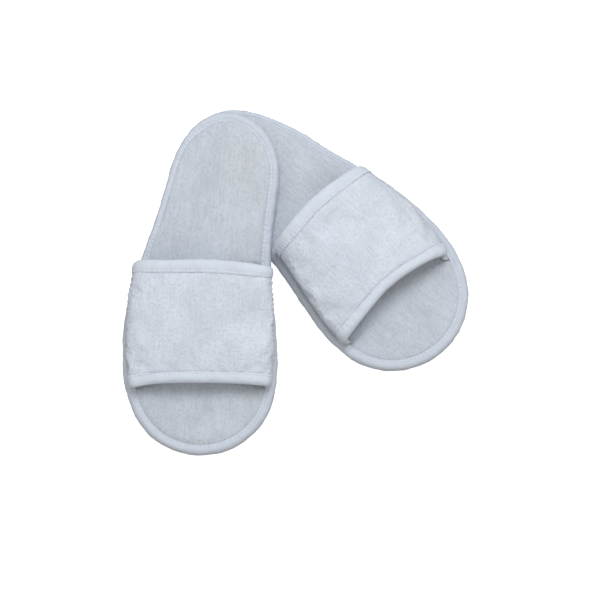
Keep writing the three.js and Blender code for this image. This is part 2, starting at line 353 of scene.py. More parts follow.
def upperSide(foot, inner, along):
    # the points that shape one side of the upper, from inside the seam to the shoulder
    form = uppers[foot]
    seam = seamInner if inner else seamOuter
    turn = turnAt(between((seam["rear"], seam["front"]), along), inner)
    bulge = between(form["bulgeInner" if inner else "bulgeOuter"], along)
    if not inner:
        bulge = bulge - form["hollowOuter"] * 4 * along * (1 - along)
    rise = between(form["crown"], along) - neck[1]
    half = np.abs(solePoint(foot, turn, neck[0], 0.0)[..., 0])

    def leaned(inset, up):
        p = solePoint(foot, turn, inset, neck[1] + up * rise)
        p[..., 1] += between(form["lean"], along) * up
        return p

    def onCircle(degrees):
        up, out = math.sin(math.radians(degrees)), math.cos(math.radians(degrees))
        inset = neck[0] - bulge + form["sideRadius"] * rise * (1 - out)
        return leaned(inset, form["sideRadius"] * (1 + up))

    return [
        solePoint(foot, turn, *flange),
        solePoint(foot, turn, *turnUp),
        solePoint(foot, turn, *neck),
        onCircle(-45), onCircle(0), onCircle(45),
        leaned(neck[0] + form["shoulderIn"] * half, form["shoulderUp"]),
    ]


def bareUpper(foot, across, along):
    # the upper's outer face before the cloth settles: across from the inner edge 0 to the outer edge 1,
    # along from the instep edge 0 to the toe edge 1
    form = uppers[foot]
    across, along = np.broadcast_arrays(np.asarray(across, float), np.asarray(along, float))
    inner, outer = upperSide(foot, True, along), upperSide(foot, False, along)
    crown = (inner[-1] + outer[-1]) / 2
    crown[..., 2] = between(form["crown"], along)
    crown[..., 1] += between(form["lean"], along) * (1 - form["shoulderUp"])
    p = np.stack([*inner, crown, *outer[::-1]], -2)
    p[..., 1] += between((np.array(form["rearTrim"]), np.array(form["toeTrim"])), along[..., None])
    spans = p.shape[-2] - 1
    p = np.concatenate([2 * p[..., :1, :] - p[..., 1:2, :], p, 2 * p[..., -1:, :] - p[..., -2:-1, :]], -2)
    place = np.clip(across, 0, 1) * spans
    i = np.minimum(place.astype(int), spans - 1)
    t = (place - i)[..., None]
    a, b, c, d = (np.take_along_axis(p, (i + k)[..., None, None], -2)[..., 0, :] for k in range(4))
    before, here, after = (
        np.sqrt(np.linalg.norm(m - n, axis=-1, keepdims=True)) for m, n in ((b, a), (c, b), (d, c))
    )
    leave = ((b - a) / before - (c - a) / (before + here) + (c - b) / here) * here
    arrive = ((c - b) / here - (d - b) / (here + after) + (d - c) / after) * here
    return b + t * (leave + t * (3 * (c - b) - 2 * leave - arrive + t * (2 * (b - c) + leave + arrive)))


# The cloth of each upper settles over its wadding: it is cut a little larger than its form, held at the
# seams and the tapes, and pushed out from inside. No point moves further than most, in millimetres.
settling = {
    "left": {"push": 1.6, "spare": 0.006, "most": 1.4},
    "right": {"push": 0.8, "spare": 0.008, "most": 1.2},
    "frames": 20, "rows": 34, "columns": 64,
    "seamColumns": 9, "tapeRows": 4, "tapeHold": 0.96,  # how far in, and how firmly, the cloth is held
    "weight": 0.12, "stretch": 20, "bend": 4, "hold": 30, "quality": 6,
}
clothStart, clothEnd = 0.15, 0.85  # the stretch of the upper, across it, that is free to settle


def settleUpper(foot):
    # how far the settled cloth moves at each point of a coarse grid, in millimetres
    how = settling[foot]
    rows, columns, frames = settling["rows"], settling["columns"], settling["frames"]
    along = np.linspace(0, 1, rows)[:, None]
    across = np.linspace(clothStart, clothEnd, columns)[None]
    start = bareUpper(foot, across, along)
    mesh = bpy.data.meshes.new("settling")
    mesh.from_pydata((start * mm).reshape(-1, 3).tolist(), [], gridFaces(rows, columns).tolist())
    cloth = bpy.data.objects.new("settling", mesh)
    putIn(cloth)
    held = cloth.vertex_groups.new(name="held")
    r, c = np.meshgrid(np.arange(rows), np.arange(columns), indexing="ij")
    toTape = np.minimum(r, rows - 1 - r)
    toSeam = np.minimum(c, columns - 1 - c)
    atSeam = np.clip(1 - toSeam / settling["seamColumns"], 0, 1)
    firm = np.maximum(atSeam, settling["tapeHold"] * (toTape < settling["tapeRows"]))
    for index, weight in enumerate(firm.ravel()):
        if weight > 0:
            held.add([index], float(weight), "REPLACE")
    if sum(face.normal.z for face in mesh.polygons) < 0:  # the push has to be outwards
        mesh.flip_normals()
    made = cloth.modifiers.new("settle", "CLOTH")
    dial = made.settings
    dial.quality = settling["quality"]
    dial.mass = settling["weight"]
    dial.tension_stiffness = dial.compression_stiffness = settling["stretch"]
    dial.bending_stiffness = settling["bend"]
    dial.vertex_group_mass = "held"
    dial.pin_stiffness = settling["hold"]
    dial.use_pressure = True
    dial.uniform_pressure_force = how["push"]
    dial.shrink_min = -how["spare"]
    dial.effector_weights.gravity = 0
    made.collision_settings.use_collision = False
    made.point_cache.frame_start, made.point_cache.frame_end = 1, frames
    for step in range(1, frames + 1):
        bpy.context.scene.frame_set(step)
    shown = cloth.evaluated_get(bpy.context.evaluated_depsgraph_get())
    ended = np.zeros(rows * columns * 3)
    shown.data.vertices.foreach_get("co", ended)
    bpy.data.objects.remove(cloth)
    bpy.context.scene.frame_set(1)
    moved = ended.reshape(start.shape) / mm - start
    size = np.linalg.norm(moved, axis=-1, keepdims=True)
    print(f"{foot} upper settled: cloth moved {size.mean():.2f} mm on average, {size.max():.2f} mm at most")
    return moved * np.tanh(size / how["most"]) * how["most"] / np.maximum(size, 1e-6)


settled = {foot: settleUpper(foot) for foot in pair}


def resample(values, places):
    # smooth values along the first axis at fractional places
    count = len(values)
    places = np.clip(places, 0, count - 1 - 1e-6)
    i = places.astype(int)
    t = (places - i).reshape(-1, *[1] * (values.ndim - 1))
    return curve(*(values[np.clip(i + k, 0, count - 1)] for k in (-1, 0, 1, 2)), t)


def upperGrid(foot, across, along):
    # settled points and outward normals at every (along, across)
    across, along = np.asarray(across, float), np.asarray(along, float)

    def points(acrosses, alongs):
        base = bareUpper(foot, acrosses[None], alongs[:, None])
        moved = resample(settled[foot], alongs * (settling["rows"] - 1))
        place = (acrosses - clothStart) / (clothEnd - clothStart)
        moved = resample(moved.swapaxes(0, 1), place * (settling["columns"] - 1)).swapaxes(0, 1)
        fade = 0.03
        free = ease(acrosses, clothStart, clothStart + fade) * ease(-acrosses, -clothEnd, fade - clothEnd)
        return base + moved * free[None, :, None]

    step = 3e-3
    low, high = np.clip(across - step, 0, 1), np.clip(across + step, 0, 1)
    acrossWay = points(high, along) - points(low, along)
    alongWay = points(across, along + step) - points(across, along - step)
    return points(across, along), unit(np.cross(acrossWay, alongWay))


def evenAcross(foot, start, end, count):
    # places across the upper that are evenly spaced along the cloth, and how far along it they are
    fine = np.linspace(start, end, 1200)
    line = bareUpper(foot, fine, 0.5)
    far = distances(line)
    wanted = np.linspace(0, far[-1], count)
    return np.interp(wanted, far, fine), wanted


def newMaterial(name, roughness, sheen=0.0, sheenRoughness=0.5, gloss=0.5):
    material = bpy.data.materials.new(name)
    material.use_nodes = True
    shader = material.node_tree.nodes["Principled BSDF"]
    shader.inputs["Roughness"].default_value = roughness
    shader.inputs["Sheen Weight"].default_value = sheen
    shader.inputs["Sheen Roughness"].default_value = sheenRoughness
    shader.inputs["Specular IOR Level"].default_value = gloss
    return material, shader


def feed(material, socket, value):
    # links a node's output into the socket, or sets the socket to a plain value
    if isinstance(value, bpy.types.NodeSocket):
        material.node_tree.links.new(value, socket)
    else:
        socket.default_value = value


def addNode(material, kind, **inputs):
    node = material.node_tree.nodes.new(kind)
    for name, value in inputs.items():
        feed(material, node.inputs[name], value)
    return node


def stretched(material, scale):
    # the piece's own coordinates, scaled differently along each axis
    where = addNode(material, "ShaderNodeAttribute")
    where.attribute_name = "ownFrame"
    mapping = addNode(material, "ShaderNodeMapping", Vector=where.outputs["Vector"], Scale=scale)
    return mapping.outputs["Vector"]


def noiseAt(material, scale, detail=2.0, rough=0.5):
    where = stretched(material, scale)
    noise = addNode(material, "ShaderNodeTexNoise", Vector=where, Scale=1.0, Detail=detail, Roughness=rough)
    return noise.outputs["Fac"]


def markAt(material, mark):
    node = addNode(material, "ShaderNodeAttribute")
    node.attribute_name = mark
    return node.outputs["Fac"]


def diagonalLines(material, scale, distortion):
    where = stretched(material, (1, 1, 1))
    node = addNode(material, "ShaderNodeTexWave", Vector=where, Scale=scale, Distortion=distortion)
    node.inputs["Detail"].default_value = 1.0
    node.bands_direction = "DIAGONAL"
    return node.outputs["Fac"]


def cellsAt(material, scale):
    where = stretched(material, (scale, scale, scale))
    return addNode(material, "ShaderNodeTexVoronoi", Vector=where, Scale=1.0).outputs["Distance"]


def remap(material, value, low, high, toLow=0.0, toHigh=1.0):
    node = addNode(material, "ShaderNodeMapRange", Value=value)
    for name, number in (("From Min", low), ("From Max", high), ("To Min", toLow), ("To Max", toHigh)):
        node.inputs[name].default_value = number
    return node.outputs["Result"]


def combine(material, operation, a, b):
    node = material.node_tree.nodes.new("ShaderNodeMath")
    node.operation = operation
    feed(material, node.inputs[0], a)
    feed(material, node.inputs[1], b)
    return node.outputs[0]


def weighted(material, *parts):
    # the sum of some values, each times its weight
    total = None
    for value, weight in parts:
        part = value if weight == 1 else combine(material, "MULTIPLY", value, weight)
        total = part if total is None else combine(material, "ADD", total, part)
    return total


def blendColour(material, amount, low, high):
    node = material.node_tree.nodes.new("ShaderNodeMix")
    node.data_type = "RGBA"
    feed(material, node.inputs["Factor"], amount)
    ends = [socket for socket in node.inputs if socket.type == "RGBA"]
    for socket, colour in zip(ends, (low, high)):
        feed(material, socket, (*colour, 1) if isinstance(colour, tuple) else colour)
    return node.outputs[2]


def finishUp(material, shader, colour, height, depth, strength=1.0):
    links = material.node_tree.links
    links.new(colour, shader.inputs["Base Color"])
    bump = addNode(material, "ShaderNodeBump", Strength=strength, Distance=depth, Height=height)
    links.new(bump.outputs["Normal"], shader.inputs["Normal"])
    return material


# Terry colours: tips for the tops of the loops, and roots darkened to paint the shade that falls between
# the loops.
terryLook = {
    "upper": {
        "tips": (0.765, 0.806, 0.876), "shadedRoots": (0.625, 0.660, 0.724), "warmer": (1.0, 0.985, 0.955),
        "sheen": 0.3,
    },
    # the footbed's colours are a darker copy of the upper's: painted shade for the recessed bed
    "footbed": {
        "tips": (0.668, 0.705, 0.768), "shadedRoots": (0.530, 0.562, 0.616), "warmer": (0.99, 0.97, 0.94),
        "sheen": 0.25,
    },
}


def makeTerry(name, look):
    # cotton terry: pale loop tips, roots darkened by painted shade between the loops, faint rows along the
    # foot and soft cloudy wear
    material, shader = newMaterial(name, 0.95, look["sheen"], 0.45, 0.15)
    # the loops' height sets the painted shade: low roots dark, high tips pale
    tips = remap(material, markAt(material, "pile"), 0.05, 0.75)
    rows = noiseAt(material, (620, 85, 300))
    threads = noiseAt(material, (2600, 2600, 2600), detail=3.0, rough=0.65)
    clouds = noiseAt(material, (42, 30, 42))
    lines = remap(material, rows, 0.3, 0.7)
    flecks = remap(material, threads, 0.3, 0.7, -0.16, 0.16)
    wear = remap(material, clouds, 0.3, 0.7, -0.22, 0.22)
    shade = weighted(material, (tips, 0.4), (lines, 0.42), (flecks, 1), (wear, 1))
    shade = remap(material, shade, 0.1, 0.95)
    cool = blendColour(material, shade, look["shadedRoots"], look["tips"])
    aged = [tuple(c * k for c, k in zip(look[part], look["warmer"])) for part in ("shadedRoots", "tips")]
    warm = blendColour(material, shade, *aged)
    areas = noiseAt(material, (13, 11, 13), detail=1.0)
    colour = blendColour(material, remap(material, areas, 0.44, 0.66), cool, warm)
    return finishUp(material, shader, colour, weighted(material, (rows, 1), (threads, 0.8)), 0.0004, 0.75)


tapeLook = {
    "threadsPerMetre": 1900,
    "edge": {"light": (0.655, 0.695, 0.762), "dark": (0.560, 0.595, 0.658)},
    "upper": {"light": (0.722, 0.765, 0.834), "dark": (0.625, 0.664, 0.728)},
}


def makeTape(name, look):
    # close woven cotton tape with a little shine
    material, shader = newMaterial(name, 0.72, 0.2, 0.35, 0.3)
    count = tapeLook["threadsPerMetre"]
    warp = diagonalLines(material, count / 6.3, 1.5)
    weave = combine(material, "MULTIPLY", warp, noiseAt(material, (count, count, count)))
    clouds = noiseAt(material, (120, 120, 120))
    pale, soft = remap(material, weave, 0.0, 0.6, 0.35, 1.0), remap(material, clouds, 0.3, 0.7, -0.2, 0.2)
    shade = remap(material, weighted(material, (pale, 1), (soft, 1)), 0, 1.1)
    colour = blendColour(material, shade, look["dark"], look["light"])
    return finishUp(material, shader, colour, weighted(material, (weave, 1), (clouds, 1)), 0.0003, 0.5)


# the colours of the parts that are hidden inside or underneath, darkest first
hiddenLook = {
    "backing": ((0.66, 0.68, 0.71), (0.78, 0.80, 0.83)),
    "foam": ((0.62, 0.61, 0.56), (0.84, 0.83, 0.78)),
    "board": ((0.38, 0.35, 0.30), (0.56, 0.52, 0.45)),
    "soleSheet": ((0.50, 0.51, 0.52), (0.80, 0.81, 0.82)),
    "thread": ((0.70, 0.745, 0.82), (0.83, 0.872, 0.94)),
}


def makeBacking():
    # thin bonded cloth inside the upper, with a fine dimpled face
    material, shader = newMaterial("upperBacking", 0.9, 0.15)
    fibres = noiseAt(material, (900, 260, 900), detail=4.0, rough=0.7)
    dimples = remap(material, cellsAt(material, 650), 0, 0.5)
    colour = blendColour(material, remap(material, fibres, 0.3, 0.7), *hiddenLook["backing"])
    return finishUp(material, shader, colour, weighted(material, (fibres, 1), (dimples, 1)), 0.0003, 0.6)


def makeFoam():
    # open-celled foam, faintly yellow
    material, shader = newMaterial("foam", 0.92)
    pores = remap(material, cellsAt(material, 1100), 0.05, 0.6)
    clouds = noiseAt(material, (60, 60, 60), detail=3.0)
    colour = blendColour(material, weighted(material, (pores, 0.6), (clouds, 0.5)), *hiddenLook["foam"])
    return finishUp(material, shader, colour, pores, 0.0005, 0.7)


def makeBoard():
    # pressed fibre board with flecks
    material, shader = newMaterial("stiffener", 0.85)
    fibres = noiseAt(material, (1400, 300, 1400), detail=4.0, rough=0.7)
    flecks = noiseAt(material, (260, 260, 260), detail=5.0, rough=0.8)
    shade = remap(material, weighted(material, (fibres, 0.5), (flecks, 0.5)), 0.3, 0.7)
    colour = blendColour(material, shade, *hiddenLook["board"])
    return finishUp(material, shader, colour, fibres, 0.0002, 0.5)


def makeTread():
    # soft foamed sole sheet, slightly speckled, scuffed on the raised studs
    material, shader = newMaterial("soleSheet", 0.6, gloss=0.35)
    speckle = noiseAt(material, (1600, 1600, 1600), detail=3.0, rough=0.7)
    scuffs = noiseAt(material, (70, 260, 70), detail=5.0, rough=0.75)
    worn = combine(material, "MULTIPLY", markAt(material, "stud"), remap(material, scuffs, 0.45, 0.75))
    shade = weighted(material, (remap(material, speckle, 0.25, 0.75, 0.6, 1.0), 1), (worn, -0.35))
    colour = blendColour(material, shade, *hiddenLook["soleSheet"])
    rough = remap(material, scuffs, 0.3, 0.7, 0.5, 0.75)
    material.node_tree.links.new(rough, shader.inputs["Roughness"])
    return finishUp(material, shader, colour, weighted(material, (speckle, 1), (scuffs, 1)), 0.00015, 0.5)


def makeThread():
    # twisted sewing thread
    material, shader = newMaterial("sewingThread", 0.5, 0.3)
    plies = diagonalLines(material, 900.0, 0.6)
    fuzz = noiseAt(material, (3000, 3000, 3000))
    colour = blendColour(material, weighted(material, (plies, 0.6), (fuzz, 0.4)), *hiddenLook["thread"])
    return finishUp(material, shader, colour, plies, 0.0001, 0.5)


upperTerry = makeTerry("upperTerry", terryLook["upper"])
# the footbed's terry is the upper's terry darkened as painted shade
footbedTerry = makeTerry("footbedTerry", terryLook["footbed"])
edgeTape = makeTape("edgeTape", tapeLook["edge"])
upperTape = makeTape("upperTape", tapeLook["upper"])
upperBacking = makeBacking()
foam = makeFoam()
stiffener = makeBoard()
soleSheet = makeTread()
sewingThread = makeThread()
print("finishes made")

# The layers' edges, as (inset, height), and the terry's height at distances in from the edge, both where it
# is free and where the upper is sewn in.
soleLook = {
    "rows": 350, "columns": 170, "plateEdge": 1.3, "aroundStep": 2.0,
    "free": [
        (0, 6.9), (1.3, 7.0), (7.0, 8.5), (7.7, 9.2), (8.3, 10.0), (9.4, 10.6), (12, 11.1), (17, 11.2),
        (26, 10.8), (45, 10.35),
    ],
    "sewnIn": [
        (0, 6.9), (1.3, 7.0), (8.5, 7.6), (10.4, 8.0), (13, 9.0), (17, 10.0), (26, 10.4), (45, 10.35),
    ],
    "terryUnder": [(1.3, 5.95), (8.5, 6.75), (16, 8.85)],
    "foam": [(1.3, 5.4), (1.3, 5.7), (8.5, 6.5), (16, 8.6)], "foamRings": 9, "foamFill": 0.9,
    "board": [(1.3, 4.1), (1.3, 5.2)],
    "dips": 0.65,  # slow rise and fall of the padded bed
    "clothWidth": 131.0, "clothSpare": 4.0, "clothShare": 0.80,  # the terry as it is cut
}


def seamShare(foot, turn):
    # 1 where the upper is sewn into the edge, 0 away from it
    share = (1 - np.cos(2 * math.pi * turn)) / 2
    inner = np.mod(turn, 1) < 0.5
    rear = np.where(inner, seamInner["rear"], seamOuter["rear"])
    front = np.where(inner, seamInner["front"], seamOuter["front"])
    return ease(share, rear - 0.018, rear + 0.004) * ease(-share, -front - 0.018, 0.004 - front)


def makeFootbed(foot):
    seed = pair[foot]["seed"]
    rows, columns = soleLook["rows"], soleLook["columns"]
    points, near, nearTurn = soleGrid(foot, soleLook["plateEdge"], rows, columns)
    x, y = points[..., 0], points[..., 1]
    narrow = edgeWidth(foot, nearTurn)
    near = near / (narrow + (1 - narrow) * ease(near, 7, 20))
    sewn = seamShare(foot, nearTurn)
    height = np.interp(near, *zip(*soleLook["free"])) * (1 - sewn)
    height += np.interp(near, *zip(*soleLook["sewnIn"])) * sewn
    dips = softNoise(x, y, 34, seed) + 0.5 * softNoise(x, y, 15, seed + 1)
    height += ease(near, 8.6, 12) * soleLook["dips"] * dips
    loops = pileHeight(x, y, seed) * (0.85 + 0.25 * softNoise(x, y, 7, seed + 2))
    points[..., 2] = height + loops * pile["height"] * ease(near, 7.9, 9.2)
    rings, faces = soleShell(foot, rows, columns, soleLook["terryUnder"])
    everything = np.concatenate([points.reshape(-1, 3), *rings])
    # the loops' heights, which the terry turns into painted shade at their roots
    marks = {"pile": np.concatenate([loops.ravel(), np.zeros(len(everything) - loops.size)])}
    piece = addPiece(
        "terry_footbed", foot, everything, faces, footbedTerry, "footbed_cover", marks
    )


def soleLayer(foot, name, profile, material, node):
    # a flat layer of the sole, as rings that follow the profile of (inset, height)
    turns, _, _ = evenTurns(foot, soleLook["aroundStep"])
    rings = np.array([solePoint(foot, turns, inset, height) for inset, height in profile])
    return addPiece(name, foot, rings, sweepFaces(len(rings), len(turns), False), material, node)


tread = {
    "studGap": 5.2, "studRadius": 1.55, "studHeight": 0.7, "studSlope": 0.45,
    "edgeGap": 11.5, "rimInset": 8.5, "rim": (9.3, 10.2), "rows": 330, "columns": 160,
    "wall": [(8.5, 2.0), (3, 2.0), (1.9, 2.7), (1.3, 3.5), (1.3, 3.9)],
}


def makeSolePlate(foot):
    # the sole sheet, with rows of small round studs that stand on the floor
    rows, columns = tread["rows"], tread["columns"]
    points, near, _ = soleGrid(foot, tread["rimInset"], rows, columns)
    x, y = points[..., 0], points[..., 1]
    rowGap = tread["studGap"] * 0.866  # the studs stand in triangles
    row = np.round(y / rowGap).astype(int)
    shift = 0.5 * (row % 2)
    studX = (np.round(x / tread["studGap"] - shift) + shift) * tread["studGap"]
    away = np.hypot(x - studX, y - row * rowGap)
    radius, slope = tread["studRadius"], tread["studSlope"]
    studs = ease(-away, -radius - slope, -radius + slope)
    studs = studs * ease(near, tread["edgeGap"], tread["edgeGap"] + 1.5)
    raised = np.maximum(studs, 1 - ease(near, *tread["rim"]))
    points[..., 2] = tread["studHeight"] * (1 - raised)
    rings, faces = soleShell(foot, rows, columns, tread["wall"])
    everything = np.concatenate([points.reshape(-1, 3), *rings])
    marks = {"stud": np.concatenate([raised.ravel(), np.zeros(len(everything) - raised.size)])}
    addPiece("sole_plate", foot, everything, faces, soleSheet, "outsole", marks)


# The tape rolled round the sole, as (inset, height) round its outside and back along its inside.
edging = {
    "outer": [
        (8.3, 1.5), (8.2, 0.85), (5.2, 0.72), (2.8, 0.9), (1.1, 1.8), (0.25, 3.5), (0.0, 5.4), (0.25, 7.3),
        (1.1, 9.0), (2.6, 10.2), (4.4, 10.65), (6.0, 10.3), (6.95, 9.85), (7.7, 10.2), (8.35, 10.25),
        (8.5, 9.75),
    ],
    "inner": [
        (8.0, 9.45), (5.5, 9.35), (3.0, 8.85), (1.3, 7.2), (1.15, 5.3), (1.3, 3.4), (2.6, 1.9), (5.5, 1.75),
    ],
    "middle": (4.2, 5.5), "step": 0.75, "points": 60, "pointGap": 0.7,
    "stitchPitch": 3.6, "seamInset": 6.95,
    "pucker": 0.24, "puckerInset": 6.9, "puckerReach": 2.2, "ripple": 0.28,
}


def makeEdgeTape(foot):
    seed = pair[foot]["seed"]
    turns, far, around = evenTurns(foot, edging["step"])
    profile = smoothLine(edging["outer"] + edging["inner"], edging["points"], closed=True)
    way = np.roll(profile, -1, 0) - np.roll(profile, 1, 0)
    out = unit(np.stack([way[:, 1], -way[:, 0]], 1))
    if ((profile - edging["middle"]) * out).sum() < 0:
        out = -out
    # only the side that shows ripples and puckers
    shown = ((profile[:, 0] < 0.9) | (profile[:, 1] > 9.6) | (profile[:, 1] < 1.4)).astype(float)
    shown = np.convolve(np.r_[shown[-2:], shown, shown[:2]], np.ones(5) / 5, "valid")
    phase = 2 * math.pi * far / around * np.round(around / edging["stitchPitch"])
    nearSeam = np.exp(-((profile[:, 0] - edging["puckerInset"]) / edging["puckerReach"]) ** 2)
    side, along = np.meshgrid(np.arange(edging["points"]) * edging["pointGap"], far)
    ripple = softNoise(along, side, 5.5, seed) + 0.6 * softNoise(along, side, 2.4, seed + 3)
    pucker = edging["pucker"] * np.cos(phase)[:, None] * nearSeam[None]
    pucker *= 0.75 + 0.5 * softNoise(far, 0 * far, 9, seed)[:, None]
    lift = (edging["ripple"] * ripple - pucker) * shown[None]
    top = ease(profile[:, 1], 6.5, 9.5)[None]
    width = 1 - (1 - edgeWidth(foot, turns)[:, None]) * top
    inset = profile[None, :, 0] * width + lift * out[None, :, 0]
    height = np.maximum(profile[None, :, 1] + lift * out[None, :, 1], 0.35)
    points = solePoint(foot, turns[:, None], np.maximum(inset, -0.4), height)
    faces = sweepFaces(len(turns), edging["points"], True)
    addPiece("edge_tape", foot, points, faces, edgeTape, "sole_binding")


thread = {
    "radius": 0.28, "sides": 8, "perStitch": 10, "soleDip": 0.85, "bandDip": 0.5,
    "soleTop": 10.12, "soleUnder": 0.5, "bandTop": 1.12, "bandUnder": -4.62,
}


def threadLoops(centres, normals, sideways):
    # rings of a round thread about a line of points
    angle = 2 * math.pi * np.arange(thread["sides"]) / thread["sides"]
    up, out = np.cos(angle)[None, :, None], np.sin(angle)[None, :, None]
    return centres[:, None] + thread["radius"] * (up * normals[:, None] + out * sideways[:, None])


def stitchRise(phase):
    # the thread lies on the cloth for most of a stitch, and dips into the needle hole at its ends
    return 1 - np.abs(np.cos(phase / 2)) ** 6


def soleThread(foot, name, node, height, up):
    # the seam's thread on the top of the edge tape (up 1) or under the sole (up -1)
    _, _, around = evenTurns(foot, 1.0)
    count = int(round(around / edging["stitchPitch"]))
    turns, far, around = evenTurns(foot, around / (count * thread["perStitch"]))
    rise = stitchRise(2 * math.pi * far / around * count)
    inset = edging["seamInset"] * (edgeWidth(foot, turns) if up > 0 else 1)
    centres = solePoint(foot, turns, inset, height - up * thread["soleDip"] * (1 - rise))
    ahead = unit(np.roll(centres, -1, 0) - np.roll(centres, 1, 0))
    flat = unit(np.cross(ahead, [0, 0, 1]))
    loops = threadLoops(centres, np.cross(flat, ahead), flat)
    addPiece(name, foot, loops, sweepFaces(len(turns), thread["sides"], True), sewingThread, node)


for foot in pair:
    makeSolePlate(foot)
    soleLayer(foot, "stiffener_board", soleLook["board"], stiffener, "insole_board")
    foamEdge = smoothLine(soleLook["foam"], soleLook["foamRings"])
    bed = soleLayer(foot, "foam_bed", foamEdge, foam, "footbed_foam")
    makeFootbed(foot)
    makeEdgeTape(foot)
    soleThread(foot, "edge_stitches", "sole_needle_thread", thread["soleTop"], 1)
    soleThread(foot, "edge_understitches", "sole_bobbin_thread", thread["soleUnder"], -1)
    print(f"{foot} sole made")

# each layer's outer and inner depth under the upper's face, and where across the upper it starts
cloth = {
    "shell": {"depth": (0.0, -1.0), "start": 0.0, "rows": 150, "columns": 240},
    "wadding": {"depth": (-1.25, -2.45), "start": 0.152, "rows": 60, "columns": 120, "fill": 0.7},
    "backing": {"depth": (-2.75, -3.35), "start": 0.15, "rows": 90, "columns": 150},
    "wrinkle": 0.5, "gathers": {"left": 0.16, "right": 0.75}, "gatherPitch": 4.3,
    "tapeCalm": 0.35, "innerCalm": 0.7,  # how much relief is left under the tapes and on inner layers
    "pileLift": 0.3, "pileBelow": 0.4,
}

tapes = {
    "toe": {"edge": 1, "width": 9.5, "seed": 3},
    "instep": {"edge": 0, "width": 8.5, "seed": 4},
    # the folded tape's section, as (distance from the edge in widths, height over the upper's face)
    "outer": [
        (1.0, 0.35), (1.0, 0.85), (0.92, 1.0), (0.86, 0.78), (0.76, 1.1), (0.5, 1.5), (0.25, 1.35),
        (0.05, 0.6),
    ],
    "fold": [(-0.08, -0.5), (-0.12, -1.8), (-0.06, -3.2)],
    "inner": [(0.1, -4.3), (0.4, -4.55), (0.7, -4.5), (0.86, -4.3), (1.0, -4.4), (1.0, -3.9)],
    "inside": [(0.8, -3.75), (0.3, -3.7), (0.12, -2.6), (0.1, -1.0), (0.25, 0.25), (0.6, 0.3)],
    "columns": 330, "points": 56, "pointGap": 0.9, "start": 0.128, "seam": 0.86, "threadInset": 0.004,
}


def toSide(across):
    # how far a place across the upper is from its nearer side
    return np.minimum(across, 1 - across)


def tuck(across, least=0.28, reach=0.17):
    # how much of their depth the inner layers keep near the seam, where it pinches them
    return least + (1 - least) * ease(toSide(across) - clothStart, 0, reach)


def clothRelief(foot, u, v, across):
    # soft wrinkles and the gathers at the side seams, in millimetres outwards
    seed = pair[foot]["seed"]
    wrinkle = softNoise(u, v, 22, seed + 5) + 0.45 * softNoise(u, v, 9, seed + 6)
    side = toSide(across)
    low = ease(side, 0.15, 0.2) * (1 - ease(side, 0.24, 0.36))
    rearMost = 1 - ease(v, 35, 75)
    gathers = np.cos(2 * math.pi * v / cloth["gatherPitch"] + 2.5 * softNoise(u, v, 14, seed + 7))
    return (
        cloth["wrinkle"] * wrinkle * ease(side, 0.15, 0.25)
        + cloth["gathers"][foot] * gathers * low * (0.35 + 0.65 * rearMost)
    )


def clearOfTapes(v):
    # 0 under the tapes and 1 between them
    fromRear = ease(v, tapes["instep"]["width"] - 0.3, tapes["instep"]["width"] + 0.7)
    return fromRear * ease(upperLength - v, tapes["toe"]["width"] - 0.3, tapes["toe"]["width"] + 0.7)


def makeLayer(foot, name, node, layer, material, outer=False):
    # one cloth or wadding layer of the upper, and how wide it is across its cloth
    look = cloth[layer]
    across, u = evenAcross(foot, look["start"], 1 - look["start"], look["columns"])
    along = np.linspace(0, 1, look["rows"])
    points, normals = upperGrid(foot, across, along)
    u2, v2 = np.meshgrid(u, along * upperLength)
    clear = clearOfTapes(v2)
    relief = clothRelief(foot, u2, v2, across) * between((cloth["tapeCalm"], 1), clear)
    under = relief * cloth["innerCalm"]
    loops = np.zeros_like(u2)
    if outer:
        seed = pair[foot]["seed"]
        loops = pileHeight(u2, v2, seed + 9) * (0.85 + 0.25 * softNoise(u2, v2, 7, seed + 8))
        loops = loops * ease(toSide(across), 0.135, 0.155)
        raised = relief + (cloth["pileLift"] + pile["height"] * loops) * clear
    else:
        raised = under
    free = ease(toSide(across), 0.13, 0.16)
    top, low = (
        points + normals * (depth * tuck(across) + lift * free)[..., None]
        for depth, lift in zip(look["depth"], (raised, under))
    )
    everything = np.concatenate([top.reshape(-1, 3), low.reshape(-1, 3)])
    # the shell's inner face takes a middling mark, so its painted shade lies between the roots' and the
    # tips'
    marks = {"pile": np.concatenate([loops.ravel(), np.full(loops.size, cloth["pileBelow"])])}
    faces = sheetFaces(look["rows"], look["columns"])
    return addPiece(name, foot, everything, faces, material, node, marks), u[-1]


def tapeAlong(edge, distance):
    return distance / upperLength if edge == 0 else 1 - distance / upperLength


def tapeTaper(across):
    # the tapes thin out where they run into the side seam
    return 0.3 + 0.7 * ease(toSide(across), tapes["start"], tapes["start"] + 0.06)


